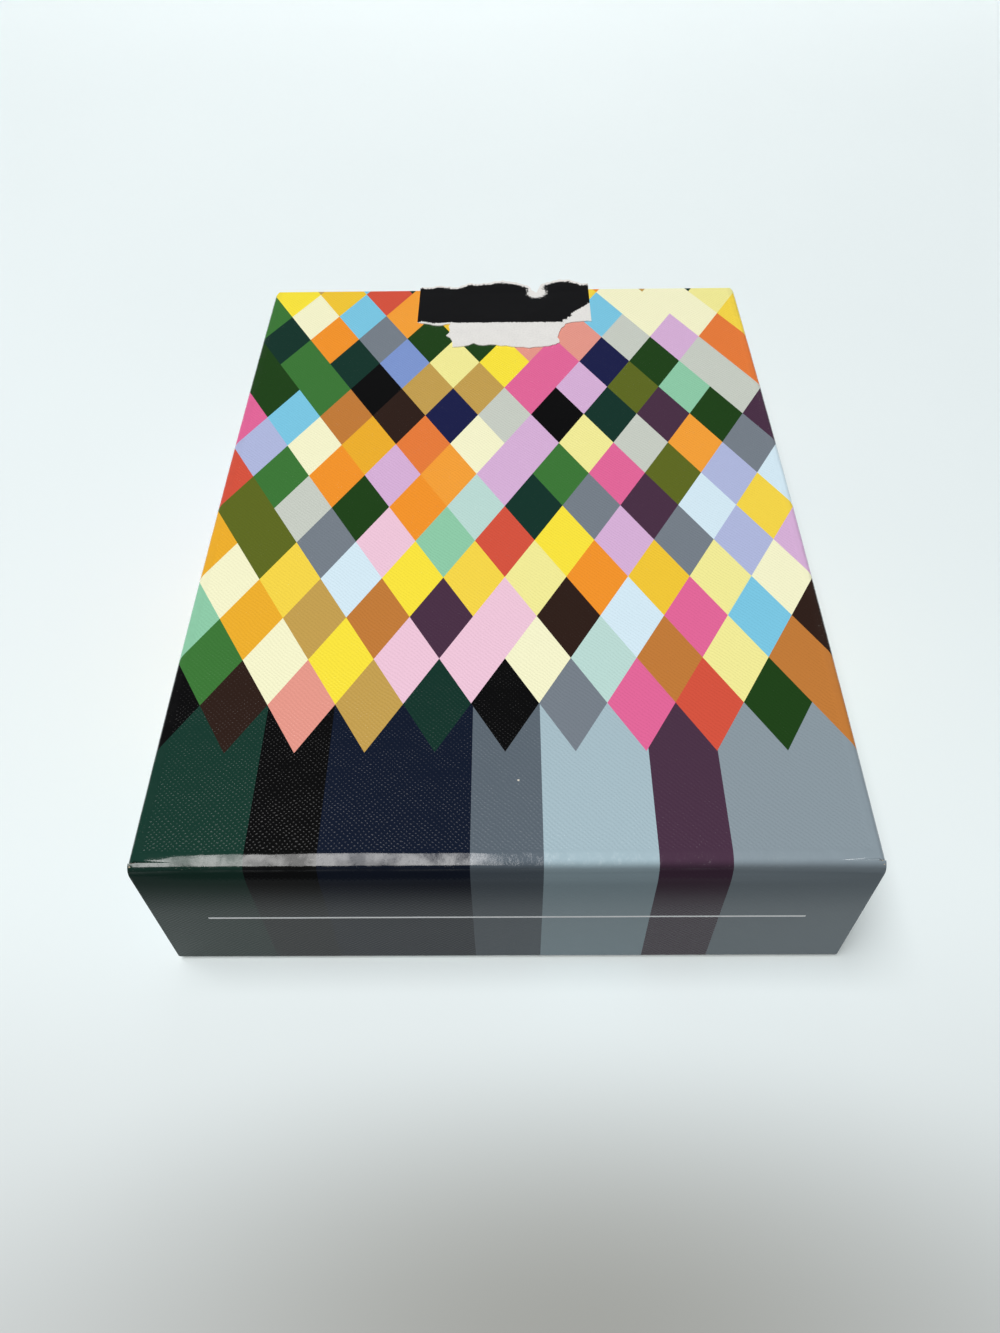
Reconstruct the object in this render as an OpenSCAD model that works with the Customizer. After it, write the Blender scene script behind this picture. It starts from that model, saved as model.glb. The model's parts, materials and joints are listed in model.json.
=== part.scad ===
// A deck of playing cards in its closed tuck carton, lying on the carton's back panel.
// X runs across the carton, Y along it towards the lid and Z up.
// The origin is the centre of the back panel's outside, under the middle of the carton.

/* [Cards] */
// Width of a card
card_w = 63.5; // [57:0.1:70]
// Length of a card
card_l = 88.9; // [80:0.1:100]
// Thickness of a card
card_t = 0.285; // [0.25:0.005:0.32]
// Radius of a card's corners
card_corner_r = 3.5; // [2:0.1:5]
// Film of air between two cards
card_air = 0.008; // [0.002:0.002:0.02]

/* [Carton] */
// Thickness of the folded board
board_t = 0.38; // [0.3:0.01:0.45]
// Outside radius of the four long folds
long_fold_r = 0.55; // [0.5:0.05:1]
// Outside radius of the folds round the closed end
end_fold_r = 0.85; // [0.6:0.05:1.5]
// Room beside the deck, on each side
side_play = 0.43; // [0.2:0.01:1]
// Room past the deck, along the carton
end_play = 1.1; // [0.4:0.1:3]
// Height of the glue tab inside the right wall
glue_tab_h = 13; // [6:0.5:14]
// How far the right wall's cut edge stops short of the back panel's outside
seam_short = 0.15; // [0.05:0.05:1]
// Clear rest of the deck on the back panel and the closed end
rest_gap = 0.05; // [0.02:0.01:0.1]

/* [Closed end] */
// How far the outer flap stops short of the back panel's outside
outer_flap_short = 0.6; // [0.2:0.1:3]
// How far the inner flap stops short of the front panel's outside
inner_flap_short = 3; // [1.5:0.1:8]
// How far the cut edges of both flaps sit in from the long sides
flap_inset = 0.7; // [0.6:0.05:2]
// Length of the glued side flaps behind them
glued_flap_l = 18; // [8:0.5:28]

/* [Lid] */
// How far the lid's cut edges sit in from the long sides
lid_inset = 0.3; // [0.1:0.05:1]
// Length of the tongue from its crease
tongue_l = 12; // [8:0.5:12.5]
// How far the tongue's sides sit in from the lid's
tongue_inset = 1.2; // [0.5:0.1:4]
// Radius of the tongue's corners
tongue_corner_r = 5; // [2:0.5:8]
// Gap between the deck and the tongue
tongue_gap = 0.3; // [0.2:0.05:0.6]
// Gap between the tongue and the front panel, which lets the tongue swing out
swing_gap = 1.25; // [1.1:0.05:2.5]
// Radius of the thumb notch in the front panel
thumb_r = 7.5; // [5:0.5:8.5]
// Running gap of a crease in its cove
crease_gap = 0.04; // [0.02:0.01:0.06]
// Gap between the lid and the dust flaps under it
lay_gap = 0.08; // [0.05:0.01:0.3]

/* [Dust flaps] */
// Length of a dust flap from its crease
dust_l = 17; // [10:0.5:24]
// Gap between a dust flap's lower edge and the back panel, at its crease
dust_foot = 1.1; // [0.8:0.1:3]
// Gap between a dust flap's upper edge and the tongue, at its crease
dust_head = 1.2; // [0.9:0.1:3]
// Radius of a dust flap's round tip
dust_tip_r = 4; // [3.9:0.1:8]

/* [Seal] */
// Width of the torn paper seal
seal_w = 24; // [18:0.5:40]
// Length of the seal on the front panel
seal_l = 14.5; // [10:0.5:30]
// Length of the torn stub past the front panel's edge
seal_stub = 1.8; // [0.5:0.1:4]
// Thickness of the seal
seal_t = 0.12; // [0.05:0.01:0.2]

/* [Hidden] */
$fn = 64;

// The deck, from the bottom card up, in the order of an unused deck
RANKS = ["ace", "two", "three", "four", "five", "six", "seven", "eight", "nine", "ten",
         "jack", "queen", "king"];
function ace_first(suit) = [for (rank = RANKS) str(rank, "_of_", suit)];
function king_first(suit) = [for (i = [len(RANKS) - 1 : -1 : 0]) str(RANKS[i], "_of_", suit)];
CARDS = concat(["red_joker", "black_joker"], ace_first("spades"), ace_first("diamonds"),
               king_first("clubs"), king_first("hearts"));

// Colours of the printed board, of its plain inside, of the seal and of the cards
print_colour = "#e2b93b";
board_colour = "#cfc7b4";
seal_colour = "#1d1d20";
card_colour = "#f4f1e8";

// How far a cut runs past the face that it starts from
overrun = 1;
// Length along which two strips of one panel, or a flap's root and its panel, overlap
root_l = 3;

// The carton goes round the deck: walls, glue tab, tongue and the layers of both ends
deck_h = len(CARDS) * card_t + (len(CARDS) - 1) * card_air;
carton_w = card_w + 2 * side_play + 3 * board_t;
carton_l = card_l + end_play + lay_gap + 5 * board_t;
carton_h = deck_h + rest_gap + tongue_gap + swing_gap + 3 * board_t;

far_y = carton_l / 2;
near_y = -carton_l / 2;
right_x = carton_w / 2;

// The side walls stop where their flaps fold in, under the lid and behind the glued flaps
side_far_y = far_y - lay_gap - 2 * board_t;
side_near_y = near_y + 2 * board_t;

// The deck lies between the left wall and the glue tab, against the closed end
deck_x = -board_t / 2;
deck_y = near_y + 3 * board_t + rest_gap + card_l / 2;
deck_z = board_t + rest_gap;

// Creases that turn: each lies on the inner face of its board
lid_crease_y = far_y - board_t;
lid_crease_z = board_t;
tongue_crease_z = deck_z + deck_h + tongue_gap;
dust_crease_x = right_x - board_t;
cove_r = board_t + crease_gap;

lid_w = carton_w - 2 * lid_inset;
tongue_w = lid_w - 2 * tongue_inset;
flap_w = carton_w - 2 * flap_inset;

// Slopes of a dust flap's lower and upper edges, as shares of the length from its crease
dust_foot_share = 0.28;
dust_head_share = 0.2;
// Bevel at each end of the glue tab, as a share of its height
tab_bevel_share = 0.5;

// Outline of the torn seal: shares of its width from the middle, and of its length on the panel
// or, where positive, of the stub that stands past the panel's edge
seal_shares = [
    [-0.5, -0.57], [-0.5, 0.2], [-0.38, 0.45], [-0.27, 0.3], [-0.12, 0.75], [-0.01, 1], [0.08, 0.7],
    [0.15, 0.25], [0.19, -0.06], [0.22, 0.5], [0.3, 0.9], [0.42, 0.8], [0.5, 0.55], [0.5, -0.58],
    [0.35, -0.62], [0.31, -0.93], [0.2, -1], [-0.05, -0.96], [-0.29, -0.99], [-0.31, -0.6]
];

// A rectangle with round corners, centred
module round_rect(w, h, r) {
    square([w - 2 * r, h], center = true);
    square([w, h - 2 * r], center = true);
    for (x = [-1, 1], y = [-1, 1])
        translate([x * (w / 2 - r), y * (h / 2 - r)]) circle(r);
}

// A block from the origin whose corner there is round
module corner_block(a, b, r) {
    translate([r, 0]) square([a - r, b]);
    translate([0, r]) square([a, b - r]);
    translate([r, r]) circle(r);
}

// A strip of board folded at the origin, with one leg along X and the other along Y
module folded_strip(a, b, r) {
    difference() {
        corner_block(a, b, r);
        translate([board_t, board_t]) corner_block(a, b, r - board_t);
    }
}

// Stretches a profile drawn in X and Z along the carton
module along(from_y, to_y) {
    translate([0, to_y, 0]) rotate([90, 0, 0]) linear_extrude(to_y - from_y) children();
}

// Stretches a profile drawn in Y and Z across the carton
module across(w) {
    translate([-w / 2, 0, 0]) rotate([90, 0, 90]) linear_extrude(w) children();
}

// A round crease that runs across the carton
module cross_rod(y, z, w, r) {
    across(w) translate([y, z]) circle(r);
}

// A round crease that runs up the far edge of the right wall, or of the left one where side is -1
module upright_rod(side, low_z, high_z, r) {
    translate([side * dust_crease_x, side_far_y, low_z]) cylinder(r = r, h = high_z - low_z);
}

// Section of the four walls: the back panel folds up into the glue tab, and the right wall closes over it
module wall_section() {
    half_w = carton_w / 2 + root_l;
    half_h = carton_h / 2 + root_l;
    translate([-right_x, 0]) folded_strip(half_w, half_h, long_fold_r);
    translate([-right_x, carton_h]) mirror([0, 1]) folded_strip(half_w, half_h, long_fold_r);
    translate([right_x, carton_h]) mirror([1, 0]) mirror([0, 1])
        folded_strip(half_w, carton_h - seam_short, long_fold_r);
    translate([right_x - board_t, 0]) mirror([1, 0])
        folded_strip(half_w, long_fold_r + root_l, long_fold_r);
}

// The walls, cut back at the far end to the front panel, the back panel and the coves of the creases
module sleeve() {
    past_w = carton_w + 2 * overrun;
    difference() {
        along(side_near_y, far_y) wall_section();
        translate([-past_w / 2, side_far_y, board_t])
            cube([past_w, far_y - side_far_y + overrun, carton_h - 2 * board_t]);
        translate([-past_w / 2, lid_crease_y, -overrun])
            cube([past_w, board_t + overrun, 2 * board_t + overrun]);
        translate([0, far_y, carton_h - 2 * board_t]) cylinder(r = thumb_r, h = 2 * board_t + overrun);
        cross_rod(lid_crease_y, lid_crease_z, past_w, cove_r);
        for (side = [-1, 1])
            upright_rod(side, board_t, carton_h - board_t, cove_r);
    }
}

// The tab that closes the sleeve, glued inside the right wall and bevelled at both ends
module glue_tab() {
    bevel = tab_bevel_share * glue_tab_h;
    from_y = side_near_y + board_t;
    to_y = side_far_y - 2 * board_t;
    translate([right_x - 2 * board_t, 0, long_fold_r]) rotate([90, 0, 90]) linear_extrude(board_t)
        polygon([[from_y, 0], [to_y, 0], [to_y - bevel, glue_tab_h], [from_y + bevel, glue_tab_h]]);
}

// The closed end: two side flaps, the back panel's flap over them and the front panel's flap outside
module closed_end() {
    root = end_fold_r + root_l;
    across(flap_w) translate([near_y, carton_h]) mirror([0, 1])
        folded_strip(root, carton_h - outer_flap_short, end_fold_r);
    across(flap_w) translate([near_y + board_t, 0])
        folded_strip(root, carton_h - inner_flap_short, end_fold_r);
    for (side = [0, 1])
        mirror([side, 0, 0]) translate([-right_x, side_near_y, board_t])
            linear_extrude(carton_h - 2 * board_t) folded_strip(glued_flap_l, root, end_fold_r);
}

module carton() {
    color(print_colour) {
        sleeve();
        glue_tab();
        closed_end();
    }
}

// The lid stands in the far end on its crease, and has a cove for the tongue's crease at its top
module lid_panel() {
    color(print_colour) across(lid_w) difference() {
        union() {
            translate([lid_crease_y, lid_crease_z]) square([board_t, tongue_crease_z - lid_crease_z]);
            translate([lid_crease_y, lid_crease_z]) circle(board_t);
        }
        translate([lid_crease_y, tongue_crease_z]) circle(cove_r);
    }
}

// The tongue folds back from the lid's top into the gap between the deck and the front panel
module tuck_tongue() {
    straight_l = tongue_l - tongue_corner_r;
    color(board_colour) {
        translate([0, lid_crease_y, tongue_crease_z]) linear_extrude(board_t) {
            translate([-tongue_w / 2, -straight_l]) square([tongue_w, straight_l]);
            translate([tongue_corner_r - tongue_w / 2, -tongue_l])
                square([tongue_w - 2 * tongue_corner_r, tongue_l]);
            for (side = [-1, 1])
                translate([side * (tongue_w / 2 - tongue_corner_r), -straight_l]) circle(tongue_corner_r);
        }
        cross_rod(lid_crease_y, tongue_crease_z, tongue_w, board_t);
    }
}

// A dust flap, which lies under the lid: a tapered leaf with a round tip, on the crease of its wall
module dust_flap(side) {
    low = board_t + dust_foot;
    high = tongue_crease_z - dust_head;
    tip_low = low + dust_foot_share * dust_l;
    tip_high = high - dust_head_share * dust_l;
    translate([side * dust_crease_x, side_far_y, 0]) rotate([90, 0, 180]) linear_extrude(board_t)
        mirror([side < 0 ? 1 : 0, 0]) intersection() {
            polygon([[0, low], [dust_l, tip_low], [dust_l, tip_high], [0, high]]);
            union() {
                translate([0, low]) square([dust_l - dust_tip_r, high - low]);
                translate([dust_l - dust_tip_r, (tip_low + tip_high) / 2]) circle(dust_tip_r);
            }
        }
    upright_rod(side, low, high, board_t);
}

module dust_flap_left() {
    color(board_colour) dust_flap(-1);
}

module dust_flap_right() {
    color(board_colour) dust_flap(1);
}

// What is left of the paper seal, stuck over the thumb notch and torn at the lid
module seal() {
    outline = [for (p = seal_shares) [p[0] * seal_w, p[1] * (p[1] > 0 ? seal_stub : seal_l)]];
    color(seal_colour) translate([0, far_y, carton_h]) linear_extrude(seal_t) polygon(outline);
}

// One card of the deck, counted from the bottom
module card(place) {
    color(card_colour) translate([deck_x, deck_y, deck_z + place * (card_t + card_air)])
        linear_extrude(card_t) round_rect(card_w, card_l, card_corner_r);
}

carton();
lid_panel();
tuck_tongue();
dust_flap_left();
dust_flap_right();
seal();
for (place = [0 : len(CARDS) - 1])
    card(place);
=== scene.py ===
# %% [markdown]
# # A deck of cards in its tuck carton
# A tuck carton is one sheet of printed board, die-cut flat, creased and folded round the cards. This
# lesson dresses a finished CAD model of it: the CAD parts give every place and every motion, and
# Blender adds what the eye looks for, such as the folds, the print, the varnish and the torn seal.
# Everything is in metres in the CAD model's own frame: X across, Y along towards the lid, Z up.

# %% Load the CAD model and keep its box
import json
import math
import random
import bpy
from mathutils import Matrix, Vector, noise
from mathutils.geometry import delaunay_2d_cdt


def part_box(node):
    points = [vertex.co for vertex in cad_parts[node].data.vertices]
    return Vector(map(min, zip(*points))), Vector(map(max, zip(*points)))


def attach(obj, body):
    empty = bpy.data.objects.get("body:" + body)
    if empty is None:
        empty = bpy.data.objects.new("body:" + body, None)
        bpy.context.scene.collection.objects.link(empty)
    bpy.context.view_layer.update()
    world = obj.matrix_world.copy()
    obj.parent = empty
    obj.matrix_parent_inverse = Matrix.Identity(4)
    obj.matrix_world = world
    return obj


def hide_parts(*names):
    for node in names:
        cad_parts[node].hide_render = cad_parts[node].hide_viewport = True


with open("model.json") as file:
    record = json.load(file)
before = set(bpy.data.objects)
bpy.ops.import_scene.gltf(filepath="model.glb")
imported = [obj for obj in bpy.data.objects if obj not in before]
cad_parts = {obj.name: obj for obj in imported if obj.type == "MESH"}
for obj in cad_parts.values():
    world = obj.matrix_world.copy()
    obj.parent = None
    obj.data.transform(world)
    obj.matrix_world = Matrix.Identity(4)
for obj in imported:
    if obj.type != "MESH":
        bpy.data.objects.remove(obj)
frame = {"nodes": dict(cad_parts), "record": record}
nodes, scene = frame["nodes"], bpy.context.scene
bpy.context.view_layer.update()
MM = 0.001
carton_lo, carton_hi = (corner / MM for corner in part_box("carton"))
RIGHT_X, FAR_Y, NEAR_Y, TOP_Z = carton_hi.x, carton_hi.y, carton_lo.y, carton_hi.z


def shown(name, data):
    """A new object in the scene, at the origin, that shows a mesh, a lens or a lamp."""
    made = bpy.data.objects.new(name, data)
    scene.collection.objects.link(made)
    return made


print("nodes:", len(nodes), "carton, mm:", [round(c, 2) for c in carton_hi - carton_lo])

# %% [markdown]
# ## The camera
# The picture is taken from close by, above the glued end, with a phone-like wide lens. A camera could
# be placed by eye, but here its place, its aim and its lens were worked out from the corners of the
# carton, so that the edges of the render fall where those of the real carton do.

# %% Place the camera
IMAGE_W, FOCAL_PX, SENSOR_W = 1000, 1010, 36
CAMERA_AT = Vector((0.51, -87.2, 96.58)) * MM
CAMERA_AIM = Vector((-0.74, -8.44, 0)) * MM
CAMERA_ROLL = math.radians(-1.06)

lens = bpy.data.cameras.new("camera")
lens.sensor_fit, lens.sensor_width = "HORIZONTAL", SENSOR_W
lens.lens = SENSOR_W * FOCAL_PX / IMAGE_W
lens.clip_start, lens.clip_end = 0.005, 50
camera = shown("camera", lens)
aim = (CAMERA_AIM - CAMERA_AT).to_track_quat("-Z", "Y").to_matrix().to_4x4()
camera.matrix_world = Matrix.Translation(CAMERA_AT) @ aim @ Matrix.Rotation(CAMERA_ROLL, 4, "Z")
scene.camera = camera
print("lens, mm:", round(lens.lens, 2))

# %% [markdown]
# ## Sums on sockets
# A procedural material is arithmetic on colours and numbers. Node by node it is slow to read, so one
# small class wraps a socket and lets Python write the sums: `1 - mask` adds a Math node by itself.
# Anything else comes from `node`, which takes the node's type, its settings and its sockets.


# %% A socket that can be added, multiplied and compared
class Wire:
    """An output socket in a shader tree. Sums on it add Math nodes to the tree."""

    def __init__(self, tree, socket=None):
        self.tree, self.socket = tree, socket

    def node(self, kind, settings=None, sockets=None, out=0):
        """Adds a node: its settings, then values or links for its inputs. Gives one output."""
        made = self.tree.nodes.new("ShaderNode" + kind)
        for name, value in (settings or {}).items():
            if name == "stops":
                set_stops(made.color_ramp, value)
            else:
                setattr(made, name, value)
        for name, value in (sockets or {}).items():
            if isinstance(value, Wire):
                self.tree.links.new(value.socket, made.inputs[name])
            else:
                made.inputs[name].default_value = value
        return Wire(self.tree, made.outputs[out])

    def math(self, operation, *values):
        return self.node("Math", {"operation": operation}, dict(enumerate((self, *values))))

    def __rsub__(self, first):
        return self.node("Math", {"operation": "SUBTRACT"}, {0: first, 1: self})

    def __add__(self, other): return self.math("ADD", other)
    def __sub__(self, other): return self.math("SUBTRACT", other)
    def __mul__(self, other): return self.math("MULTIPLY", other)
    def __truediv__(self, other): return self.math("DIVIDE", other)
    def __abs__(self): return self.math("ABSOLUTE")
    def floor(self): return self.math("FLOOR")
    def cosine(self): return self.math("COSINE")
    def below(self, limit): return self.math("LESS_THAN", limit)
    def above(self, limit): return self.math("GREATER_THAN", limit)
    def least(self, other): return self.math("MINIMUM", other)
    def most(self, other): return self.math("MAXIMUM", other)
    def wrapped(self, low, high): return self.math("WRAP", high, low)
    __radd__, __rmul__ = __add__, __mul__

    def rise(self, low, high):
        """A smooth step from 0 at low to 1 at high."""
        return self.node("MapRange", {"interpolation_type": "SMOOTHSTEP"},
                         {"Value": self, "From Min": low, "From Max": high})

    def mix(self, low, high):
        """The colour low where this is 0, and high where it is 1."""
        return self.node("Mix", {"data_type": "RGBA"}, {0: self, 6: low, 7: high}, out=2)

    def parts(self):
        """The X, Y and Z of a vector."""
        split = self.node("SeparateXYZ", None, {0: self})
        return [Wire(self.tree, out) for out in split.socket.node.outputs]

    def joined(self, *others):
        """A vector from this number and one or two more."""
        return self.node("CombineXYZ", None, dict(enumerate((self, *others))))


def set_stops(ramp, stops):
    """Gives a ramp hard steps: each colour holds from its place to the next."""
    ramp.interpolation = "CONSTANT"
    for place, colour in stops[len(ramp.elements):]:
        ramp.elements.new(place)
    for element, (place, colour) in zip(ramp.elements, stops):
        element.position, element.color = place, paint(colour)


def paint(code):
    """A colour for a shader from its usual web code."""
    shares = [int(code[i:i + 2], 16) / 255 for i in (1, 3, 5)]
    return tuple(s / 12.92 if s <= 0.04045 else ((s + 0.055) / 1.055) ** 2.4 for s in shares) + (1.0,)


def finish(name, paint_job, **plain):
    """A material: its changing parts come from paint_job, its plain values sit on the shader."""
    made = bpy.data.materials.new(name)
    made.use_nodes = True
    tree = made.node_tree
    shader = tree.nodes["Principled BSDF"]
    for socket, value in plain.items():
        shader.inputs[socket.replace("_", " ")].default_value = value
    for socket, value in paint_job(Wire(tree)).items():
        tree.links.new(value.socket, shader.inputs[socket])
    print("finish:", name, len(tree.nodes), "nodes")
    return made


# %% [markdown]
# ## How the board folds
# The carton starts as a flat blank: a glue tab, the back, the left wall, the front and the right wall
# in one strip, with flaps at the near end. It could be modelled as a box with bevelled edges, but then
# the print would need a seam at each fold. Here the flat blank is drawn first and then folded by a
# rule, so that each point keeps its place on the sheet and the print runs over the folds as it does on
# the real board. `u` is the length across the strip and `v` the length along it, in millimetres. The
# sizes are those of the CAD model, but the near fold is rounder and its flap wider, as in the picture.

# %% Sizes of the blank
BOARD_T = 0.38
LONG_FOLD_R, END_FOLD_R = 0.55, 1.1
TAB_H, TAB_BEVEL = 13.0, 6.5
SEAM_SHORT = 0.15
OUTER_SHORT, INNER_SHORT = 0.6, 3.0
FLAP_INSET = 0.06
GLUED_FLAP_L = 18.0
THUMB_R = 7.5
QUARTER = math.pi / 2
LONG_ARC_L, END_ARC_L = LONG_FOLD_R * QUARTER, END_FOLD_R * QUARTER
FOLD_V, LEAN_V = NEAR_Y + END_FOLD_R, NEAR_Y + END_FOLD_R - END_ARC_L

PANELS = {
    "tab": TAB_H,
    "back": 2 * RIGHT_X - BOARD_T - 2 * LONG_FOLD_R,
    "left": TOP_Z - 2 * LONG_FOLD_R,
    "front": 2 * RIGHT_X - 2 * LONG_FOLD_R,
    "right": TOP_Z - LONG_FOLD_R - SEAM_SHORT,
}
starts, ends, reach = {}, {}, 0.0
for panel, width in PANELS.items():
    starts[panel], ends[panel] = reach, reach + width
    reach += width + LONG_ARC_L
FRONT_MID = (starts["front"] + ends["front"]) / 2
SHEET_PERIOD = FRONT_MID - (starts["back"] + ends["back"]) / 2
WALL_NEAR_Y = NEAR_Y + 2 * BOARD_T
BEND_Y = {"front": NEAR_Y, "back": NEAR_Y + BOARD_T, "left": WALL_NEAR_Y, "right": WALL_NEAR_Y}
print("blank, mm:", {panel: round(start, 2) for panel, start in starts.items()})

# %% [markdown]
# ## A filled carton isn't quite square
# The cards press the sides out a little, and the front swells. Just before the near fold the front
# sinks, because the crease pulls it down, and the flap below it leans out again. That shallow dip is
# what bends the lamp's mirror image into a bright streak along the fold, so it has to be in the mesh.

# %% Fold a point of the blank
SIDE_BOW, FRONT_SWELL = 0.28, 0.14
RIPPLE, RIPPLE_PITCH, FIRM_EDGE = 0.02, 7.0, 8
DIP, DIP_L, DIP_EASE, DIP_WAVE, DIP_BACK = 0.14, 0.9, 0.6, 0.4, 1.9
STEP, TINY = 0.01, 1e-6
FLAP_LINE = WALL_NEAR_Y - STEP


def section(u, flat=None):
    """The point (x, z) and the outward direction at u on the strip, as it wraps round the deck.
    The panel named flat goes straight on past its folds."""
    at, ahead = Vector((RIGHT_X - BOARD_T, LONG_FOLD_R + TAB_H)), Vector((0, -1))
    for panel in PANELS:
        out = Vector((-ahead.y, ahead.x))
        if panel == flat or not flat and (u <= ends[panel] or panel == "right"):
            return at + ahead * (u - starts[panel]), out
        at = at + ahead * PANELS[panel]
        past = u - ends[panel]
        centre = at - out * LONG_FOLD_R
        if past < LONG_ARC_L and not flat:
            out.rotate(Matrix.Rotation(-past / LONG_FOLD_R, 2))
            return centre + out * LONG_FOLD_R, out
        ahead = Vector((ahead.y, -ahead.x))
        at = centre + Vector((-ahead.y, ahead.x)) * LONG_FOLD_R


def panel_at(u, v):
    """The panel or flap of a point, or None on a long fold. The front's flap is the widest."""
    if v < FLAP_LINE and abs(u - FRONT_MID) < RIGHT_X:
        return "front"
    return next((p for p in PANELS if starts[p] - TINY <= u <= ends[p] + TINY), None)


def fraction(value, length):
    """How much of a length has been passed, from 0 to 1."""
    return min(1.0, max(0.0, value / length))


def dip(v):
    """How far the front sinks as it nears the fold. The flap below leans out again."""
    past = FOLD_V - v
    sunk = DIP * fraction(past + DIP_L, DIP_L) ** 2
    sunk += DIP * DIP_EASE / DIP_L * (1 - (1 - fraction(past, DIP_EASE)) ** 2)
    return sunk * (1 - fraction(past - END_ARC_L, DIP_BACK)) ** 2


def swell(u, v):
    """How far the board of a filled carton stands out from its flat place."""
    if panel_at(u, v) != "front":
        return 0.0
    along = fraction(abs(v), FAR_Y)
    across = fraction(abs(u - FRONT_MID), (ends["front"] - starts["front"]) / 2)
    wave = noise.noise(Vector((u, v, 0)) / RIPPLE_PITCH) * RIPPLE
    wave -= dip(v) * (1 + DIP_WAVE * noise.noise(Vector((u, 0, 0)) / RIPPLE_PITCH))
    return (1 - along ** 2) * (1 - across ** 2) * FRONT_SWELL + wave * (1 - across ** FIRM_EDGE)


def fold(u, v):
    """Where a point of the blank's printed side ends up on the closed carton, in millimetres."""
    panel = panel_at(u, v)
    (x, z), out = section(u, panel)
    bend = BEND_Y.get(panel)
    past = 0.0 if bend is None else bend + END_FOLD_R - v
    y, depth, turn = v, 0.0, 0.0
    if past > 0:
        turn = min(past / END_FOLD_R, QUARTER)
        y = bend + END_FOLD_R * (1 - math.sin(turn))
        depth = END_FOLD_R * (1 - math.cos(turn)) + past - turn * END_FOLD_R
    out = Vector((out.x, 0, out.y))
    point = Vector((x, y, z)) - out * depth
    point += (out * math.cos(turn) - Vector((0, 1, 0)) * math.sin(turn)) * swell(u, v)
    point.x *= 1 + SIDE_BOW / RIGHT_X * max(0.0, 1 - (y / FAR_Y) ** 2)
    return point


def facing(place, u, v):
    """Which way a sheet looks at a point, from how its place changes over a small step."""
    along_u = place(u + STEP, v) - place(u - STEP, v)
    along_v = place(u, v + STEP) - place(u, v - STEP)
    return along_u.cross(along_v).normalized()


print("front middle folds to", [round(c, 2) for c in fold(FRONT_MID, 0)], "facing",
      [round(c, 2) for c in facing(fold, FRONT_MID, 0)])

# %% [markdown]
# ## The die line
# A die cuts the outline in one stroke: slits free the flaps, the tab's ends are bevelled so that they
# don't catch, and a half-round thumb notch opens the front. Each line below is one edge of that die.

# %% Draw the die line
WALL_FAR_Y, BACK_FAR_Y, TAB_FAR_Y = 44.73, 45.19, 44.39
SLIT, SLIT_L, NOTCH_POINTS = 0.04, 0.9, 24
EDGE_ROOM, LOW_ROOM, TOP_ROOM = 0.12, 0.45, 0.35
INNER_BEVEL, SIDE_BEVEL, OUTER_BEVEL = 1.5, 4.0, 0.15


def flap_end(panel, depth):
    """The v of a flap's free edge, from how far it reaches past the outside of its panel."""
    return BEND_Y[panel] + END_FOLD_R - END_ARC_L - (depth - END_FOLD_R)


def flap(panel, root, sides, shoulder, depth, bevel):
    """The edge of a near-end flap with bevelled corners, from its root round its tip and back."""
    tip, (left, right) = flap_end(panel, depth), sides
    return [(root[0], WALL_NEAR_Y), (root[0], shoulder), (left, shoulder), (left, tip + bevel),
            (left + bevel, tip), (right - bevel, tip), (right, tip + bevel), (right, shoulder),
            (root[1], shoulder), (root[1], WALL_NEAR_Y)]


def slit_flap(panel, start, end, depth, bevel):
    """A flap between two slits."""
    return flap(panel, (start - SLIT, end + SLIT), (start, end), WALL_NEAR_Y + SLIT_L, depth, bevel)


def wide_flap(half_w, root_half_w, depth, bevel):
    """The outer flap, which reaches past the long folds under two cross slits."""
    root, sides = ((FRONT_MID - half, FRONT_MID + half) for half in (root_half_w, half_w))
    return flap("front", root, sides, WALL_NEAR_Y - SLIT, depth, bevel)


angles = [math.pi * k / NOTCH_POINTS for k in range(NOTCH_POINTS + 1)]
die_line = [
    (0, WALL_NEAR_Y + BOARD_T + TAB_BEVEL), (ends["tab"], WALL_NEAR_Y + BOARD_T),
    (starts["back"], WALL_NEAR_Y),
    *slit_flap("back", starts["back"] + EDGE_ROOM, ends["back"] - EDGE_ROOM, TOP_Z - INNER_SHORT,
               INNER_BEVEL),
    *slit_flap("left", starts["left"] + LOW_ROOM, ends["left"] - TOP_ROOM, GLUED_FLAP_L, SIDE_BEVEL),
    *wide_flap(RIGHT_X - FLAP_INSET, RIGHT_X - LONG_FOLD_R - EDGE_ROOM, TOP_Z - OUTER_SHORT,
               OUTER_BEVEL),
    *slit_flap("right", starts["right"] + TOP_ROOM, ends["right"] - BOARD_T - LONG_FOLD_R, GLUED_FLAP_L,
               SIDE_BEVEL),
    (ends["right"], WALL_NEAR_Y), (ends["right"], WALL_FAR_Y), (starts["right"], WALL_FAR_Y),
    (ends["front"], FAR_Y),
    *[(FRONT_MID + THUMB_R * math.cos(a), FAR_Y - THUMB_R * math.sin(a)) for a in angles],
    (starts["front"], FAR_Y), (ends["left"], WALL_FAR_Y), (starts["left"], WALL_FAR_Y),
    (ends["back"], BACK_FAR_Y), (starts["back"], BACK_FAR_Y), (ends["tab"], TAB_FAR_Y),
    (0, TAB_FAR_Y - TAB_BEVEL),
]
print("die line:", len(die_line), "points")

# %% [markdown]
# ## From the flat sheet to the folded board
# A flat sheet only folds cleanly where it has edges to bend along. So the creases are drawn across the
# blank as extra lines, a few for each round fold, with a loose grid in between for the gentle swell of
# the panels. A constrained triangulation keeps all those lines, and then every point is folded. The
# inner side follows at the board's thickness, and a rim closes the cut edges.

# %% Rule the creases and cut the sheet into faces
FOLD_STEPS, GRID, OVERRUN, SHEET_GAP = 6, 4.0, 1, 1e-4


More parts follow.
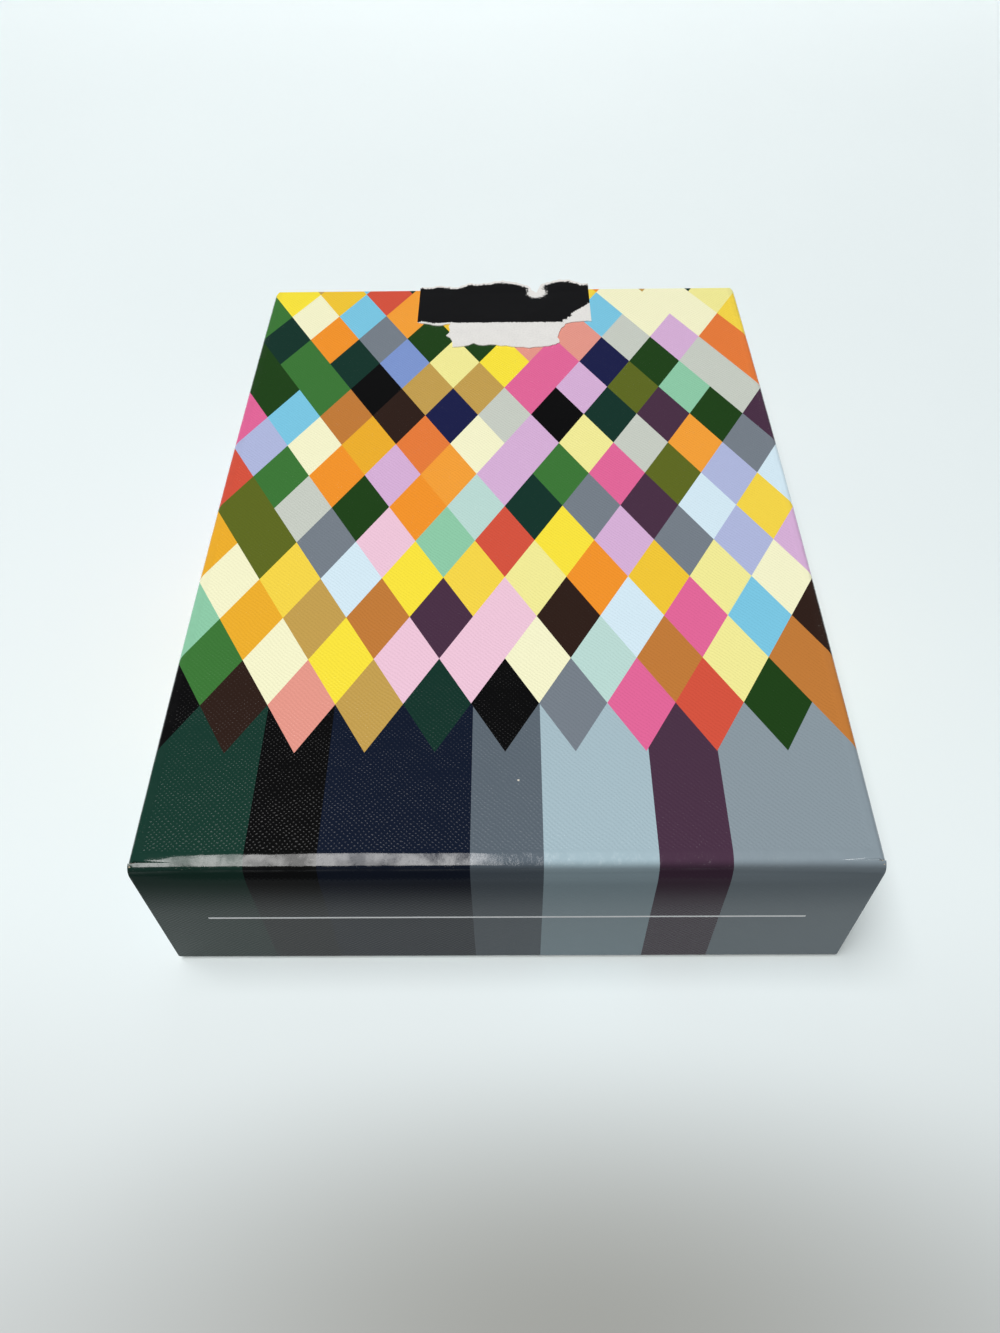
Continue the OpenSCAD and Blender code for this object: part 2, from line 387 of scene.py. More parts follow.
def spaced(start, end, pitch):
    """Even places from start to end, about a pitch apart."""
    count = max(1, round((end - start) / pitch))
    return [start + (end - start) * k / count for k in range(count + 1)]


low_v, high_v = min(v for u, v in die_line) - OVERRUN, FAR_Y + OVERRUN
rules = []
for panel in PANELS:
    columns = spaced(starts[panel], ends[panel], GRID)
    if panel != "right":
        columns += spaced(ends[panel], ends[panel] + LONG_ARC_L, LONG_ARC_L / FOLD_STEPS)
    rules += [((u, low_v), (u, high_v)) for u in columns]
for v in spaced(WALL_NEAR_Y + END_FOLD_R + SLIT_L, WALL_FAR_Y, GRID):
    rules.append(((-OVERRUN, v), (ends["right"] + OVERRUN, v)))
for panel, bend in BEND_Y.items():
    arc_start, arc_end = bend + END_FOLD_R, bend + END_FOLD_R - END_ARC_L
    rows = spaced(arc_end, arc_start, END_ARC_L / FOLD_STEPS)
    rows += spaced(flap_end(panel, TOP_Z), arc_end, GRID)[:-1]
    rules += [((starts[panel] - LONG_FOLD_R, v), (ends[panel] + LONG_FOLD_R, v)) for v in rows]
for v in spaced(FOLD_V, FOLD_V + DIP_L, DIP_L / FOLD_STEPS)[1:]:
    rules.append(((starts["front"], v), (ends["front"], v)))
for v in spaced(LEAN_V - DIP_BACK, LEAN_V, DIP_BACK / FOLD_STEPS)[:-1]:
    rules.append(((starts["front"] - LONG_FOLD_R, v), (ends["front"] + LONG_FOLD_R, v)))


def stretches(outline):
    """Each point of a closed outline with the next one."""
    return zip(outline, outline[1:] + outline[:1])


def inside(outline, point):
    """Whether a point lies within an outline: a ray from it then crosses an odd number of edges."""
    crossings = 0
    for (ax, ay), (bx, by) in stretches(outline):
        if (ay > point[1]) != (by > point[1]):
            crossings += point[0] < ax + (point[1] - ay) * (bx - ax) / (by - ay)
    return crossings % 2 == 1


def cut(outlines, ruled, keeps, gap):
    """Cuts flat outlines and ruled lines into faces, and keeps those whose middle passes the test."""
    flat, edges = [], []
    for line in outlines:
        edges += [(len(flat) + k, len(flat) + (k + 1) % len(line)) for k in range(len(line))]
        flat += [Vector(p) for p in line]
    for a, b in ruled:
        edges.append((len(flat), len(flat) + 1))
        flat += [Vector(a), Vector(b)]
    points, _, faces, *_ = delaunay_2d_cdt(flat, edges, [], 0, gap)
    return points, [f for f in faces if keeps(sum((points[i] for i in f), Vector((0, 0))) / len(f))]


def cut_sheet(outline, ruled):
    """The faces of a sheet within its outline, with an edge along every ruled line."""
    return cut([outline], ruled, lambda middle: inside(outline, middle), SHEET_GAP)


sheet_points, sheet_faces = cut_sheet(die_line, rules)
print("sheet:", len(sheet_points), "points,", len(sheet_faces), "faces")


# %% Close a folded sheet into board
def mesh_of(name, points, faces, slots=None, inks=()):
    """A mesh from points and faces, with each face's slot and the inks in the slots."""
    made = bpy.data.meshes.new(name)
    made.from_pydata(points, [], faces)
    for ink in inks:
        made.materials.append(ink)
    if slots:
        made.polygons.foreach_set("material_index", slots)
    return made


def board_mesh(name, points, faces, place, thickness):
    """A closed board from a flat sheet. Its printed side, plain side and cut rim have slots of their
    own, and each corner keeps its place on the sheet in the UV map, in millimetres."""
    used = sorted({i for f in faces for i in f})
    number = {i: k for k, i in enumerate(used)}
    outer = [place(*points[i]) for i in used]
    normal = [facing(place, *points[i]) for i in used]
    inner = [p - n * thickness for p, n in zip(outer, normal)]
    count = len(used)
    faces = [[number[i] for i in f] for f in faces]
    sides = {(f[k - 1], f[k]) for f in faces for k in range(len(f))}
    rim = [(a, b) for a, b in sides if (b, a) not in sides]
    loops = [list(f) for f in faces] + [[i + count for i in reversed(f)] for f in faces]
    loops += [[b, a, a + count, b + count] for a, b in rim]
    slots = [0] * len(faces) + [1] * len(faces) + [2] * len(rim)
    mesh = mesh_of(name, [p * MM for p in outer + inner], loops, slots)
    mesh.polygons.foreach_set("use_smooth", [True] * len(loops))
    sheet_map = mesh.uv_layers.new(name="sheet")
    spots = [points[used[i % count]] for loop in loops for i in loop]
    sheet_map.data.foreach_set("uv", [c for spot in spots for c in spot])
    ways = []
    for polygon, slot in zip(mesh.polygons, slots):
        for i in polygon.vertices:
            ways.append((normal[i % count], -normal[i % count], polygon.normal)[slot])
    mesh.normals_split_custom_set([tuple(w) for w in ways])
    return mesh


# A hair thinner than the real board, so that glued layers don't touch.
VISIBLE_T = BOARD_T * 0.97
carton_mesh = board_mesh("carton_board", sheet_points, sheet_faces, fold, VISIBLE_T)
carton = shown("folded_carton", carton_mesh)
print("carton:", len(carton_mesh.polygons), "faces")

# %% [markdown]
# ## The print
# Harlequin lozenges, an old pattern of the card table, cover the sheet in many colours, and a band of
# upright stripes runs over the near fold. Images could be painted and wrapped, but a rule is sharper
# at any size: the two slanted counts of a lozenge lattice number each lozenge, a hash of the numbers
# picks its ink, and rows share a mood so that warm and cool belts form by chance. On the near flap
# the stripes are darkened with painted shade, and a thin pale rule crosses them.

# %% Inks and the lattice
LOZENGE_W, LOZENGE_L = RIGHT_X / 5, RIGHT_X / 2.9
INKS = ["#f7f6cf", "#f4ee9a", "#fbe63f", "#f7d84a", "#f3c938", "#eeb02e", "#f6a23a", "#f4952c",
        "#e87d3c", "#d65440", "#e79a8c", "#f0c8dc", "#e4689b", "#d8b2da", "#c9cfc6", "#d6ecf8",
        "#bcdcd6", "#8fccaa", "#7cc9e6", "#7f98d2", "#b1bae0", "#77808a", "#c4a052", "#c27c3a",
        "#5f6a22", "#3d7838", "#1f4218", "#14352c", "#1b1f4a", "#2f1f19", "#4a3146", "#080809"]
ROW_SHARE, ROW_SEED, INK_SPREAD = 0.42, 5.3, (0.1, 0.93)
STRIPES = [(0, "#16392f"), (0.15, "#070708"), (0.25, "#10192c"), (0.45, "#5d6872"), (0.55, "#a7bec8"),
           (0.7, "#4b3347"), (0.8, "#8b99a2")]
BAND_Y = NEAR_Y + 14.0
# Painted shade: the near flap's stripes are mixed towards near black, as the near face turns away from
# the lamp.
FLAP_SHADE_INK, FLAP_SHADE, FLAP_SHADE_FADE_Y = paint("#050607"), 0.62, NEAR_Y - 0.2
RULE_INK, RULE_DEPTH, RULE_HALF_L, RULE_HALF_T = paint("#cfd0d2"), 9.3, 27.7, 0.14


def lattice_print(u, v):
    """The ink at a place on the sheet, in millimetres."""
    x = u - FRONT_MID
    rising, falling = x / LOZENGE_W + v / LOZENGE_L, x / LOZENGE_W - v / LOZENGE_L
    first, second = rising.floor(), falling.floor()
    row, cell = first - second, first.joined(second)
    cell_chance = cell.node("TexWhiteNoise", {"noise_dimensions": "2D"}, {"Vector": cell})
    row_chance = row.node("TexWhiteNoise", {"noise_dimensions": "1D"}, {"W": row * ROW_SEED})
    place = cell_chance * (1 - ROW_SHARE) + row_chance * ROW_SHARE
    stops = [(k / len(INKS), colour) for k, colour in enumerate(INKS)]
    lozenges = place.node("ValToRGB", {"stops": stops}, {0: place.rise(*INK_SPREAD)})
    across = x.wrapped(-SHEET_PERIOD / 2, SHEET_PERIOD / 2)
    stripes = across.node("ValToRGB", {"stops": STRIPES}, {0: across / (2 * RIGHT_X) + 0.5})
    # Painted shade darkens the stripes as they turn over the near fold onto the flap.
    stripes = (v.rise(FOLD_V, FLAP_SHADE_FADE_Y) * FLAP_SHADE).mix(stripes, FLAP_SHADE_INK)
    in_band = (row * (LOZENGE_L / 2)).below(BAND_Y)
    rule_v = flap_end("front", RULE_DEPTH)
    rule = abs(v - rule_v).below(RULE_HALF_T) * abs(x).below(RULE_HALF_L)
    return rule.mix(in_band.mix(lozenges, stripes), RULE_INK)


print("lozenge, mm:", round(LOZENGE_W, 2), "by", round(LOZENGE_L, 2), "inks:", len(INKS))

# %% [markdown]
# ## Varnish, emboss and wear
# The board is pressed with a fine dimpled pattern before it is varnished, which is why dark inks
# sparkle near the light. The dimples are two slanted cosine waves in the bump, about a third of a
# millimetre apart. On a fold they are flat, the varnish is glossy and a little ink is lost. The plain
# inside shows grey paper fibres.

# %% Finishes of the board
DIMPLE_PITCH, DIMPLE_H = 0.36, 0.028
CLOUD, RIPPLES, GRAIN, GRAIN_INK, GRAIN_H = 0.22, 0.9, 6.0, 0.01, 0.001
FOLDS_U = [end + LONG_ARC_L / 2 for panel, end in ends.items() if panel != "right"]
NEAR_FOLD_V, FOLD_EDGE, FOLD_RIPPLE_H = NEAR_Y + END_FOLD_R * 0.75, (0.7, 1.2), 0.08
GLOSS_SCALE, GLOSS_EDGE, GLOSS_LOW, GLOSS_SPAN = 0.4, (0.35, 0.62), 0.2, 0.5
LEAN, LEAN_L = 0.55, 8.0
SCUFFED, SCUFF_EDGE, SCUFF_SHARE = paint("#d9d4c8"), (0.8, 0.95), 0.12
GLUED_FLAT, CHIP, CHIP_HALF = 0.7, (1.2, -37.0), 0.09
PRINT_ROUGH, PLAIN_ROUGH, RAW_ROUGH, ROUGH_SPAN = 0.2, 0.78, 0.8, 0.15
PLAIN_DARK, PLAIN_PALE, PLAIN_H = paint("#bdb5a3"), paint("#e9e4d8"), 0.012
RAW_DARK, RAW_PALE = paint("#8f7b5e"), paint("#d9cdb6")
VARNISH = {"Coat_Roughness": 0.06, "Specular_IOR_Level": 0.15}


def dimples(u, v):
    """The pressed pattern, from 0 in a hollow to 1 on a ridge."""
    turn = 2 * math.pi / DIMPLE_PITCH / math.sqrt(2)
    wave = 0.25 * ((u + v) * turn).cosine() + 0.25 * ((u - v) * turn).cosine() + 0.5
    return wave * wave


def fibres(spot, scale, detail=4.0, space="2D"):
    """Paper's cloudy unevenness at a place."""
    return spot.node("TexNoise", {"noise_dimensions": space},
                     {"Vector": spot, "Scale": scale, "Detail": detail})


def printed_side(u, v, bent, emboss=1.0):
    """Colour, roughness and height of varnished print. bent is 1 on a fold."""
    spot = u.joined(v)
    cloud, ripple, grain = fibres(spot, CLOUD), fibres(spot, RIPPLES), fibres(spot, GRAIN)
    scuff = (bent * (grain * 0.8 + cloud * 0.5)).rise(*SCUFF_EDGE)
    inked = (grain * GRAIN_INK).mix(lattice_print(u, v), paint("#808080"))
    pressed = dimples(u + ripple * 0.5, v + cloud) * (1 - bent) * emboss * DIMPLE_H
    return ((scuff * SCUFF_SHARE).mix(inked, SCUFFED), PRINT_ROUGH + cloud * 0.03 - bent * 0.06,
            pressed + grain * GRAIN_H + bent * ripple * FOLD_RIPPLE_H)


def plain_side(u, v):
    """Colour, roughness and height of the uncoated inside, with grey and brown fibres."""
    spot = u.joined(v)
    cloud, fibre = fibres(spot, 0.12), fibres(spot, 3.0, 8.0)
    colour = (cloud * 0.5 + fibre * 0.5).mix(PLAIN_DARK, PLAIN_PALE)
    return colour, PLAIN_ROUGH + fibre * ROUGH_SPAN, fibre * PLAIN_H


def surfaced(colour, rough, height):
    """The sockets of a surface, with its height in millimetres turned into a bump."""
    bump = rough.node("Bump", None, {"Strength": 1.0, "Distance": MM, "Height": height})
    return {"Base Color": colour, "Roughness": rough, "Normal": bump}


def eased_fold(v):
    """Height that softens the near fold, so that the flap seems to lean back as it leaves it."""
    turn_l = END_ARC_L / 2
    onto = ((LEAN_V + turn_l - v) / turn_l).most(0.0).least(1.0)
    left = 1 - ((LEAN_V - v) / LEAN_L).most(0.0).least(1.0)
    return onto * onto * (LEAN * turn_l / 2) - left * left * left * (LEAN * LEAN_L / 3)


def sheet_place(start):
    """The u and v of a place on the folded sheet."""
    return start.node("UVMap", {"uv_map": "sheet"}).parts()[:2]


def printed_carton(start):
    """The outside of the folded carton."""
    u, v = sheet_place(start)
    flap = v.below(NEAR_Y)
    near = abs(v - NEAR_FOLD_V)
    for fold_u in FOLDS_U:
        near = near.least(abs(u - fold_u) + flap)
    bent = 1 - near.rise(*FOLD_EDGE)
    colour, rough, height = printed_side(u, v, bent, 1 - flap * GLUED_FLAT)
    chipped = abs(u - FRONT_MID - CHIP[0]).most(abs(v - CHIP[1])).below(CHIP_HALF)
    gloss = fibres(u.joined(v), GLOSS_SCALE).rise(*GLOSS_EDGE) * GLOSS_SPAN + GLOSS_LOW
    board = surfaced(chipped.mix(colour, SCUFFED), rough, height + eased_fold(v))
    return {**board, "Coat Weight": bent * gloss}


def plain_carton(start):
    return surfaced(*plain_side(*sheet_place(start)))


def place_mm(start):
    """X, Y and Z of the place on a piece, in millimetres."""
    spot = start.node("TexCoord", None, None, "Object")
    return spot.node("VectorMath", {"operation": "SCALE"}, {0: spot, "Scale": 1 / MM}).parts()


def raw_edge(x, y, z):
    """Colour and roughness of cut board: layered tan fibre."""
    layer = fibres(x.joined(y, z), 5.0, 6.0, "3D")
    return layer.mix(RAW_DARK, RAW_PALE), RAW_ROUGH + layer * ROUGH_SPAN


def cut_rim(start):
    colour, rough = raw_edge(*place_mm(start))
    return {"Base Color": colour, "Roughness": rough}


for made in (finish("varnished_print", printed_carton, **VARNISH), finish("plain_board", plain_carton),
             finish("cut_board", cut_rim)):
    carton_mesh.materials.append(made)
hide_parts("carton")
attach(carton, "carton")

# %% [markdown]
# ## Lid, tongue and dust flaps
# These leaves of the same board turn on their creases, so each is a part of its own. Their CAD shapes
# are right as they are. A carton's print stops at a bleed line a little way onto a hidden flap, and
# the rest stays white. Each finish asks which way a face looks: outwards it has print, inwards it is
# plain, and along the rim it shows the raw cut.

# %% Dress the four leaves
LID_Y, TONGUE_Z, DUST_Y = 45.61, 16.544, 45.15
BLEED, OUTWARDS, SIDEWAYS, ENDWAYS = 4.5, 0.3, 0.7, 0.6
BACK_U = starts["back"] + RIGHT_X - BOARD_T - LONG_FOLD_R


def leaf(layout, bleed_v=None):
    """A finish for a leaf. layout gives its u and v on the sheet, its outward look and its rim."""
    def surface(start):
        place, normal = place_mm(start), start.node("TexCoord", None, None, "Normal").parts()
        u, v, outward, rim = layout(*place, *normal)
        inked, plain, (raw, raw_rough) = printed_side(u, v, u * 0.0), plain_side(u, v), raw_edge(*place)
        outside = outward.above(OUTWARDS)
        if bleed_v is not None:
            outside = outside * v.below(bleed_v)
        rough = plain[1] + outside * (inked[1] - plain[1])
        return surfaced(rim.mix(outside.mix(plain[0], inked[0]), raw),
                        rough + rim * (raw_rough - rough),
                        plain[2] + outside * (inked[2] - plain[2]))
    return surface


LEAVES = {
    "lid_panel": lambda x, y, z, nx, ny, nz: (
        BACK_U - x, z + LID_Y, ny - nz, abs(nx).above(SIDEWAYS)),
    "tuck_tongue": lambda x, y, z, nx, ny, nz: (
        BACK_U - x, LID_Y + TONGUE_Z + LID_Y - y, nz + ny,
        (abs(nx) - ny).above(ENDWAYS) * abs(nz).below(ENDWAYS)),
    "dust_flap_left": lambda x, y, z, nx, ny, nz: (
        starts["left"] - LONG_FOLD_R + z, x + RIGHT_X + DUST_Y, ny - nx,
        abs(ny).below(ENDWAYS) * x.above(1 - RIGHT_X)),
    "dust_flap_right": lambda x, y, z, nx, ny, nz: (
        ends["right"] - z, RIGHT_X - x + DUST_Y, ny + nx,
        abs(ny).below(ENDWAYS) * x.below(RIGHT_X - 1)),
}
for name, layout in LEAVES.items():
    surface = leaf(layout, DUST_Y + BLEED if name.startswith("dust") else None)
    nodes[name].data.materials.clear()
    nodes[name].data.materials.append(finish(name + "_board", surface, **VARNISH))

# %% [markdown]
# ## Stamps that repeat
# Torn fibres along an edge, pips on a card and lozenges on its back are one job: a small shape, put
# down again at a list of places. Geometry Nodes do that without copying by hand. The tree takes a mesh
# of points, each with its own turn and size, puts the stamp on every point, realizes the copies and
# inks them. It ends as a plain mesh, because instances are lost when a model is exported.

# %% The stamping tree
def stamping_tree():
    """Points in, stamps out: named inputs for the stamp and its ink."""
    tree = bpy.data.node_groups.new("stamping", "GeometryNodeTree")
    face = tree.interface
    face.new_socket("Places", in_out="INPUT", socket_type="NodeSocketGeometry")
    keys = {name: face.new_socket(name, in_out="INPUT", socket_type=kind).identifier
            for name, kind in (("Stamp", "NodeSocketObject"), ("Ink", "NodeSocketMaterial"))}
    face.new_socket("Stamps", in_out="OUTPUT", socket_type="NodeSocketGeometry")
    new = tree.nodes.new
    given, result = new("NodeGroupInput"), new("NodeGroupOutput")
    stamp, copies = new("GeometryNodeObjectInfo"), new("GeometryNodeInstanceOnPoints")
    turn, turned = new("GeometryNodeInputNamedAttribute"), new("FunctionNodeEulerToRotation")
    turn.data_type = "FLOAT_VECTOR"
    share = new("GeometryNodeInputNamedAttribute")
    turn.inputs["Name"].default_value, share.inputs["Name"].default_value = "turn", "share"
    solid, inked = new("GeometryNodeRealizeInstances"), new("GeometryNodeSetMaterial")
    for giver, output, taker, socket in (
            (given, "Places", copies, "Points"), (given, "Stamp", stamp, "Object"),
            (stamp, "Geometry", copies, "Instance"), (turn, "Attribute", turned, "Euler"),
            (turned, "Rotation", copies, "Rotation"), (share, "Attribute", copies, "Scale"),
            (copies, "Instances", solid, "Geometry"), (solid, "Geometry", inked, "Geometry"),
            (given, "Ink", inked, "Material"), (inked, "Geometry", result, "Stamps")):
        tree.links.new(giver.outputs[output], taker.inputs[socket])
    return tree, keys


STAMPING, STAMPING_KEYS = stamping_tree()


def frozen(holder):
    """The plain mesh that an object ends as. The object itself goes."""
    graph = bpy.context.evaluated_depsgraph_get()
    made = bpy.data.meshes.new_from_object(holder.evaluated_get(graph))
    bpy.data.objects.remove(holder)
    return made


def stamped(stamp, places, ink):
    """A plain mesh of stamps. Each place has an (x, y, z), an (x, y, z) turn and a share of the size."""
    points = mesh_of("places", [Vector(at) * MM for at, _, _ in places], [])
    points.attributes.new("turn", "FLOAT_VECTOR", "POINT").data.foreach_set(
        "vector", [c for _, turn, _ in places for c in turn])
    points.attributes.new("share", "FLOAT", "POINT").data.foreach_set(
        "value", [share for _, _, share in places])
    holder = shown("places", points)
    modifier = holder.modifiers.new("stamping", "NODES")
    modifier.node_group = STAMPING
    modifier[STAMPING_KEYS["Stamp"]], modifier[STAMPING_KEYS["Ink"]] = stamp, ink
    return frozen(holder)


def merged(name, meshes):
    """One mesh from several, each keeping its inks."""
    points, faces, slots, inks = [], [], [], []
    for mesh in meshes:
        base = len(points)
        points += [v.co.copy() for v in mesh.vertices]
        for polygon in mesh.polygons:
            faces.append([base + i for i in polygon.vertices])
            ink = mesh.materials[polygon.material_index]
            if ink not in inks:
                inks.append(ink)
            slots.append(inks.index(ink))
    return mesh_of(name, points, faces, slots, inks)


print("stamping tree:", len(STAMPING.nodes), "nodes")

# %% [markdown]
# ## The torn seal
# A paper seal once ran from the front over the thumb notch to the lid. Opening the box tore it, and a
# stub is left: black print, white fibres where the paper parted, a deep tear on the right and a pale
# margin below. The outline is listed point by point and then roughened by halving each torn stretch
# and moving its middle a little. The paper dips over the notch and curls at the stub.

# %% The seal's outline
SEAL_W, SEAL_L, SEAL_STUB, SEAL_T = 24.0, 14.5, 1.8, 0.12
SEAL_SHARES = [
    (-0.5, -0.57), (-0.5, 0.2), (-0.38, 0.45), (-0.27, 0.3), (-0.12, 0.75), (-0.01, 1), (0.08, 0.7),
    (0.15, 0.25), (0.19, -0.06), (0.22, 0.5), (0.3, 0.9), (0.42, 0.8), (0.5, 0.55), (0.5, -0.58),
    (0.35, -0.62), (0.31, -0.93), (0.2, -1), (-0.05, -0.96), (-0.29, -0.99), (-0.31, -0.6)]
TEAR_ROUNDS, TEAR_SHARE, SEAL_GRID = 3, 0.13, 0.6
chance = random.Random(11)


def is_cut(a, b):
    """Whether a stretch of the outline lies on one of the two clean sides."""
    return abs(abs(a.x) - SEAL_W / 2) + abs(abs(b.x) - SEAL_W / 2) < TINY


def torn_outline():
    """The seal's outline in millimetres, with each torn stretch roughened."""
    loop = [Vector((x * SEAL_W, FAR_Y + y * (SEAL_STUB if y > 0 else SEAL_L))) for x, y in SEAL_SHARES]
    for _ in range(TEAR_ROUNDS):
        finer = []
        for a, b in stretches(loop):
            finer.append(a)
            if not is_cut(a, b):
                side = Vector((a.y - b.y, b.x - a.x)) * chance.uniform(-TEAR_SHARE, TEAR_SHARE)
                finer.append((a + b) / 2 + side)
        loop = finer
    return loop


seal_line = torn_outline()
seal_torn = [p for p in seal_line if abs(p.x) < SEAL_W / 2 - STEP]
seal_low, seal_high = min(p.y for p in seal_line), FAR_Y + SEAL_STUB
seal_rules = [((x, seal_low - OVERRUN), (x, FAR_Y + 3 * OVERRUN))
              for x in spaced(-SEAL_W / 2, SEAL_W / 2, SEAL_GRID)[1:-1]]
seal_rules += [((-SEAL_W, y), (SEAL_W, y)) for y in spaced(seal_low, seal_high, SEAL_GRID)[1:-1]]
print("seal outline:", len(seal_line), "points")

# %% Lay the seal on the front panel
NOTCH_DIP, CURL, CURL_FROM = 0.15, 0.045, 1.0
FLUTTER, FLUTTER_PITCH, FLUTTER_SEED = 0.02, 2.5, 4.0
BLACK_L, BLACK_WAVER, FRINGE = 8.7, 0.3, 0.75
TEAR_AT, TEAR_R, TEAR_REACH = (4.6, FAR_Y - 0.9), 1.7, 1.3
BARE_CORNER = [(7.6, FAR_Y - 9.2), (12.4, FAR_Y - 9.2), (12.4, FAR_Y - 3.8), (10.4, FAR_Y - 5.2)]
SEAL_FIBRES, TORN_FUZZ, TORN_EDGE = (4.0, 6.0), 0.9, (0.42, 0.58)


def seal_top(x, y):
    """The upper side of the seal: on the panel, dipped over the notch and curled at the stub."""
    lift = fold(FRONT_MID + x, min(y, FAR_Y)).z + SEAL_T
    from_notch = math.hypot(x, y - FAR_Y) / THUMB_R
    if from_notch < 1 and y <= FAR_Y:
        lift -= NOTCH_DIP * (1 - from_notch ** 2)
    if y > FAR_Y - CURL_FROM:
        lift += CURL * (y - FAR_Y + CURL_FROM) ** 2
    lift += FLUTTER * (1 + noise.noise(Vector((x, y, FLUTTER_SEED)) / FLUTTER_PITCH))
    return Vector((x, y, lift))


seal_sheet = cut_sheet([tuple(p) for p in seal_line], seal_rules)
seal_mesh = board_mesh("seal_paper", *seal_sheet, seal_top, SEAL_T)


def bareness(x, y):
    """1 where the black print has come off the seal's white paper."""
    black_end = FAR_Y - BLACK_L + BLACK_WAVER * noise.noise(Vector((x, 0, 2)))
    if y < black_end or inside(BARE_CORNER, (x, y)):
        return 1.0
    to_edge = min((p - Vector((x, y))).length for p in seal_torn)
    to_tear = math.hypot(x - TEAR_AT[0], y - TEAR_AT[1]) / TEAR_R
    return fraction(max(1 - to_edge / FRINGE, TEAR_REACH - to_tear), 1)


bare = seal_mesh.attributes.new("bare", "FLOAT", "POINT")
bare.data.foreach_set("value", [bareness(v.co.x / MM, v.co.y / MM) for v in seal_mesh.vertices])


def seal_print(start):
    """Black print that gives way to white fibre where the seal is torn."""
    x, y, _ = place_mm(start)
    spot = x.joined(y)
    fibre, cloud = fibres(spot, *SEAL_FIBRES), fibres(spot, 0.5)
    torn = start.node("Attribute", {"attribute_name": "bare"}, None, "Fac")
    white = (torn + (fibre - 0.5) * TORN_FUZZ).rise(*TORN_EDGE)
    paper = (fibre * 0.6 + cloud * 0.3).mix(paint("#d3d2d0"), paint("#f6f5f1"))
    return surfaced(white.mix(paint("#0f0f11"), paper), 0.36 + white * 0.4,
                    fibre * (0.004 + white * 0.03))


def seal_under(start):
    x, y, _ = place_mm(start)
    fibre = fibres(x.joined(y), *SEAL_FIBRES)
    paper = fibre.mix(paint("#d8d6d0"), paint("#f4f2ec"))
    return surfaced(paper, 0.75 + fibre * ROUGH_SPAN, fibre * 0.02)


seal_white = finish("seal_fibre", seal_under)
for made in (finish("seal_print", seal_print, Specular_IOR_Level=0.3), seal_white, seal_white):
    seal_mesh.materials.append(made)
seal = shown("torn_seal", seal_mesh)
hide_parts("seal")
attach(seal, "carton")
print("seal:", len(seal_mesh.polygons), "faces")

# %% Fibres along the tear
FIBRE_R, FIBRE_L, FIBRE_GAP = 0.02, 0.55, 0.16
FAN, LEANS, ROOTS, LENGTHS = (-0.9, 0.9), (1.15, 1.7), (0.3, 0.7), (0.3, 1.0)
tip = Vector((0, 0, FIBRE_L)) * MM
ring = [Vector((FIBRE_R * math.cos(a), FIBRE_R * math.sin(a), 0)) * MM for a in (0, 2.1, 4.2)]
fibre = shown("fibre", mesh_of("fibre", ring + [tip], [(2, 1, 0), (0, 1, 3), (1, 2, 3), (2, 0, 3)]))
fibre_places = []
for a, b in stretches(seal_line):
    along = b - a
    for _ in range(0 if is_cut(a, b) else max(1, round(along.length / FIBRE_GAP))):
        at = a + along * chance.random()
        heading = math.atan2(along.x, -along.y) + math.pi + chance.uniform(*FAN)
        lean = chance.uniform(*LEANS)
        root = seal_top(at.x, at.y) - Vector((0, 0, SEAL_T * chance.uniform(*ROOTS)))
        fibre_places.append((root, (0, lean, heading), chance.uniform(*LENGTHS)))
fuzz = shown("seal_fuzz", stamped(fibre, fibre_places, seal_white))
bpy.data.objects.remove(fibre)
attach(fuzz, "carton")
print("fibres:", len(fibre_places))

# %% [markdown]
# ## The cards
# Inside lie fifty-four cards, each a piece of its own. Their faces stay hidden while the deck is in
# the carton, but a card that is taken out should be a card. So the pips, the corner figures and the
# back's lozenges are thin films of ink in the mesh, stamped by the same tree, in plain inks. Each card
# sits a hair askew, as cards do, which draws the fine lines of the deck's edge.

# %% Inks and stamps for the cards
INK_T, INK_GAP = 0.003, 1e-5
HEART_POINTS, HEART_W, HEART_RISE = 28, 32, 2.5


def plain_ink(name, code, rough):
    return finish(name, lambda start: {}, Base_Color=paint(code), Roughness=rough)


STOCK = plain_ink("card_face", "#f3f1ea", 0.4)
EDGES = [plain_ink("card_edge_pale", "#efece3", 0.7), plain_ink("card_edge_grey", "#d3cfc4", 0.7)]
RED, BLACK, BACK = (plain_ink(n, c, 0.38) for n, c in (
    ("red_ink", "#c0272d"), ("black_ink", "#141416"), ("back_ink", "#1d4a63")))


def round_line(cx, cy, r, steps=20):
    angles = [2 * math.pi * k / steps for k in range(steps)]
    return [(cx + r * math.cos(a), cy + r * math.sin(a)) for a in angles]


def heart_line(flip=1):
    """A heart of width 1, point down, or point up where flip is -1."""
    line = []
    for k in range(HEART_POINTS):
        t = 2 * math.pi * k / HEART_POINTS
        x = 16 * math.sin(t) ** 3
        y = 13 * math.cos(t) - 5 * math.cos(2 * t) - 2 * math.cos(3 * t) - math.cos(4 * t)
        line.append((x / HEART_W, flip * (y + HEART_RISE) / HEART_W))
    return line if flip > 0 else line[::-1]


STEM = [(-0.26, -0.56), (0.26, -0.56), (0.07, -0.3), (0.04, 0.0), (-0.04, 0.0), (-0.07, -0.3)]
PIP_LINES = {
    "hearts": [heart_line()],
    "spades": [[(x, y + 0.06) for x, y in heart_line(-1)], STEM],
    "diamonds": [[(0, 0.6), (-0.2, 0.26), (-0.43, 0), (-0.2, -0.26), (0, -0.6), (0.2, -0.26), (0.43, 0),
                  (0.2, 0.26)]],
    "clubs": [round_line(0, 0.28, 0.25), round_line(-0.27, -0.1, 0.25), round_line(0.27, -0.1, 0.25),
              round_line(0, 0.03, 0.13, steps=8), STEM],
}


